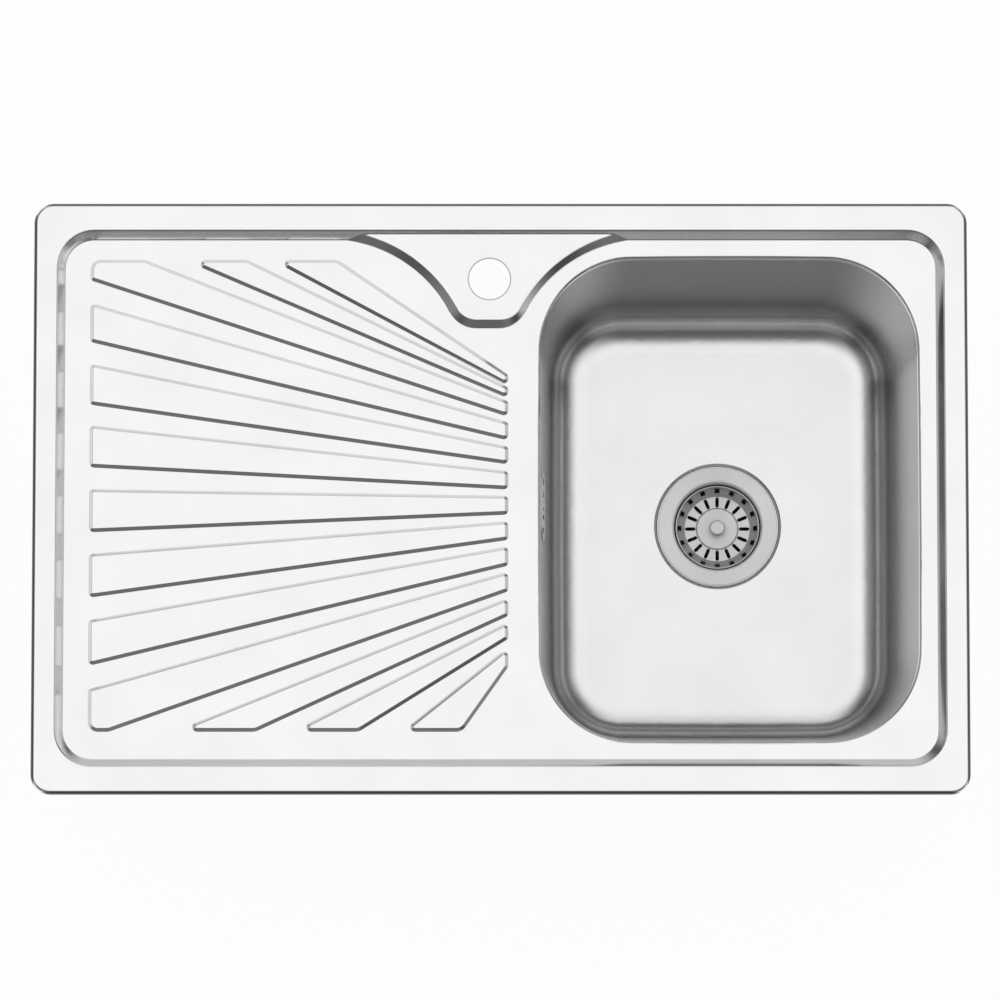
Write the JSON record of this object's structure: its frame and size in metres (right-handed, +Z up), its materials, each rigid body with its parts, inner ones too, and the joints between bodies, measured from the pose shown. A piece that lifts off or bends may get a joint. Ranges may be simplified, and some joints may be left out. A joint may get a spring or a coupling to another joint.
{
  "type": "kitchen sink with drainboard",
  "caption": "Inset stainless steel kitchen sink with one bowl, a ribbed drainboard, a tap ledge, basket strainer waste, overflow and rim clamps.",
  "frame": {"origin": "centre of the rim's outline, on the worktop surface that the rim seal rests on", "axes": "+X from the drainboard to the bowl, +Y from the front edge to the tap ledge at the back, +Z up"},
  "size_m": [0.79, 0.504, 0.25],
  "materials": {
    "steel_top": "fine silk-polished stainless steel sheet",
    "steel_bowl": "satin drawn stainless steel",
    "seal_foam": "closed-cell foam, matte",
    "damping_pad": "bitumen sheet, matte",
    "strainer_steel": "spun stainless steel, satin",
    "basket_steel": "polished stainless steel",
    "rubber": "black rubber, matte",
    "waste_plastic": "off-white moulded polypropylene",
    "pipe_plastic": "off-white pipe, satin",
    "nut_plastic": "off-white moulded nut",
    "brass": "turned brass",
    "screw_steel": "bright stainless screw",
    "zinc_steel": "zinc-plated pressed steel",
    "tag_steel": "stainless strip"
  },
  "bodies": {
    "sink": {"body_gasket": "rubber", "bowl": "steel_bowl", "clamp_brackets": "zinc_steel", "deck": "steel_top", "earth_tag": "tag_steel", "flange_gasket": "seal_foam", "overflow_gasket": "seal_foam", "overflow_housing": "waste_plastic", "overflow_nut_lower": "nut_plastic", "overflow_nut_upper": "nut_plastic", "overflow_pipe": "pipe_plastic", "overflow_plate": "strainer_steel", "overflow_screw": "screw_steel", "pipe_washers": "rubber", "rim_seal": "seal_foam", "sound_pad_back": "damping_pad", "sound_pad_front": "damping_pad", "strainer_body": "strainer_steel", "waste_body": "waste_plastic", "waste_insert": "brass", "waste_screw": "screw_steel"},
    "strainer": {"strainer_basket": "basket_steel", "strainer_post": "basket_steel", "strainer_knob": "basket_steel", "rubber_plug": "rubber", "post_clip": "basket_steel"},
    "clamp_screw_front_left": {"clamp_screw_front_left": "zinc_steel"},
    "clamp_arm_front_left": {"clamp_arm_front_left": "zinc_steel"},
    "clamp_screw_front_middle": {"clamp_screw_front_middle": "zinc_steel"},
    "clamp_arm_front_middle": {"clamp_arm_front_middle": "zinc_steel"},
    "clamp_screw_front_right": {"clamp_screw_front_right": "zinc_steel"},
    "clamp_arm_front_right": {"clamp_arm_front_right": "zinc_steel"},
    "clamp_screw_right": {"clamp_screw_right": "zinc_steel"},
    "clamp_arm_right": {"clamp_arm_right": "zinc_steel"},
    "clamp_screw_back_right": {"clamp_screw_back_right": "zinc_steel"},
    "clamp_arm_back_right": {"clamp_arm_back_right": "zinc_steel"},
    "clamp_screw_back_middle": {"clamp_screw_back_middle": "zinc_steel"},
    "clamp_arm_back_middle": {"clamp_arm_back_middle": "zinc_steel"},
    "clamp_screw_back_left": {"clamp_screw_back_left": "zinc_steel"},
    "clamp_arm_back_left": {"clamp_arm_back_left": "zinc_steel"},
    "clamp_screw_left": {"clamp_screw_left": "zinc_steel"},
    "clamp_arm_left": {"clamp_arm_left": "zinc_steel"}
  },
  "joints": [
    {"name": "strainer_lift", "type": "slide", "parent": "sink", "child": "strainer", "axis": [0, 0, 1], "range_m": [0, 0.2]},
    {"name": "clamp_tighten_front_left", "type": "slide", "parent": "sink", "child": "clamp_screw_front_left", "axis": [0, 0, 1], "range_m": [0, 0.012]},
    {"name": "clamp_swing_front_left", "type": "hinge", "parent": "clamp_screw_front_left", "child": "clamp_arm_front_left", "pos_m": [-0.285, -0.228, -0.045], "axis": [0, 0, 1], "range_deg": [0, 90]},
    {"name": "clamp_tighten_front_middle", "type": "slide", "parent": "sink", "child": "clamp_screw_front_middle", "axis": [0, 0, 1], "range_m": [0, 0.012]},
    {"name": "clamp_swing_front_middle", "type": "hinge", "parent": "clamp_screw_front_middle", "child": "clamp_arm_front_middle", "pos_m": [0, -0.228, -0.045], "axis": [0, 0, 1], "range_deg": [0, 90]},
    {"name": "clamp_tighten_front_right", "type": "slide", "parent": "sink", "child": "clamp_screw_front_right", "axis": [0, 0, 1], "range_m": [0, 0.012]},
    {"name": "clamp_swing_front_right", "type": "hinge", "parent": "clamp_screw_front_right", "child": "clamp_arm_front_right", "pos_m": [0.285, -0.228, -0.045], "axis": [0, 0, 1], "range_deg": [0, 90]},
    {"name": "clamp_tighten_right", "type": "slide", "parent": "sink", "child": "clamp_screw_right", "axis": [0, 0, 1], "range_m": [0, 0.012]},
    {"name": "clamp_swing_right", "type": "hinge", "parent": "clamp_screw_right", "child": "clamp_arm_right", "pos_m": [0.371, 0, -0.045], "axis": [0, 0, 1], "range_deg": [0, 90]},
    {"name": "clamp_tighten_back_right", "type": "slide", "parent": "sink", "child": "clamp_screw_back_right", "axis": [0, 0, 1], "range_m": [0, 0.012]},
    {"name": "clamp_swing_back_right", "type": "hinge", "parent": "clamp_screw_back_right", "child": "clamp_arm_back_right", "pos_m": [0.285, 0.228, -0.045], "axis": [0, 0, 1], "range_deg": [0, 90]},
    {"name": "clamp_tighten_back_middle", "type": "slide", "parent": "sink", "child": "clamp_screw_back_middle", "axis": [0, 0, 1], "range_m": [0, 0.012]},
    {"name": "clamp_swing_back_middle", "type": "hinge", "parent": "clamp_screw_back_middle", "child": "clamp_arm_back_middle", "pos_m": [0, 0.228, -0.045], "axis": [0, 0, 1], "range_deg": [0, 90]},
    {"name": "clamp_tighten_back_left", "type": "slide", "parent": "sink", "child": "clamp_screw_back_left", "axis": [0, 0, 1], "range_m": [0, 0.012]},
    {"name": "clamp_swing_back_left", "type": "hinge", "parent": "clamp_screw_back_left", "child": "clamp_arm_back_left", "pos_m": [-0.285, 0.228, -0.045], "axis": [0, 0, 1], "range_deg": [0, 90]},
    {"name": "clamp_tighten_left", "type": "slide", "parent": "sink", "child": "clamp_screw_left", "axis": [0, 0, 1], "range_m": [0, 0.012]},
    {"name": "clamp_swing_left", "type": "hinge", "parent": "clamp_screw_left", "child": "clamp_arm_left", "pos_m": [-0.371, 0, -0.045], "axis": [0, 0, 1], "range_deg": [0, 90]}
  ]
}
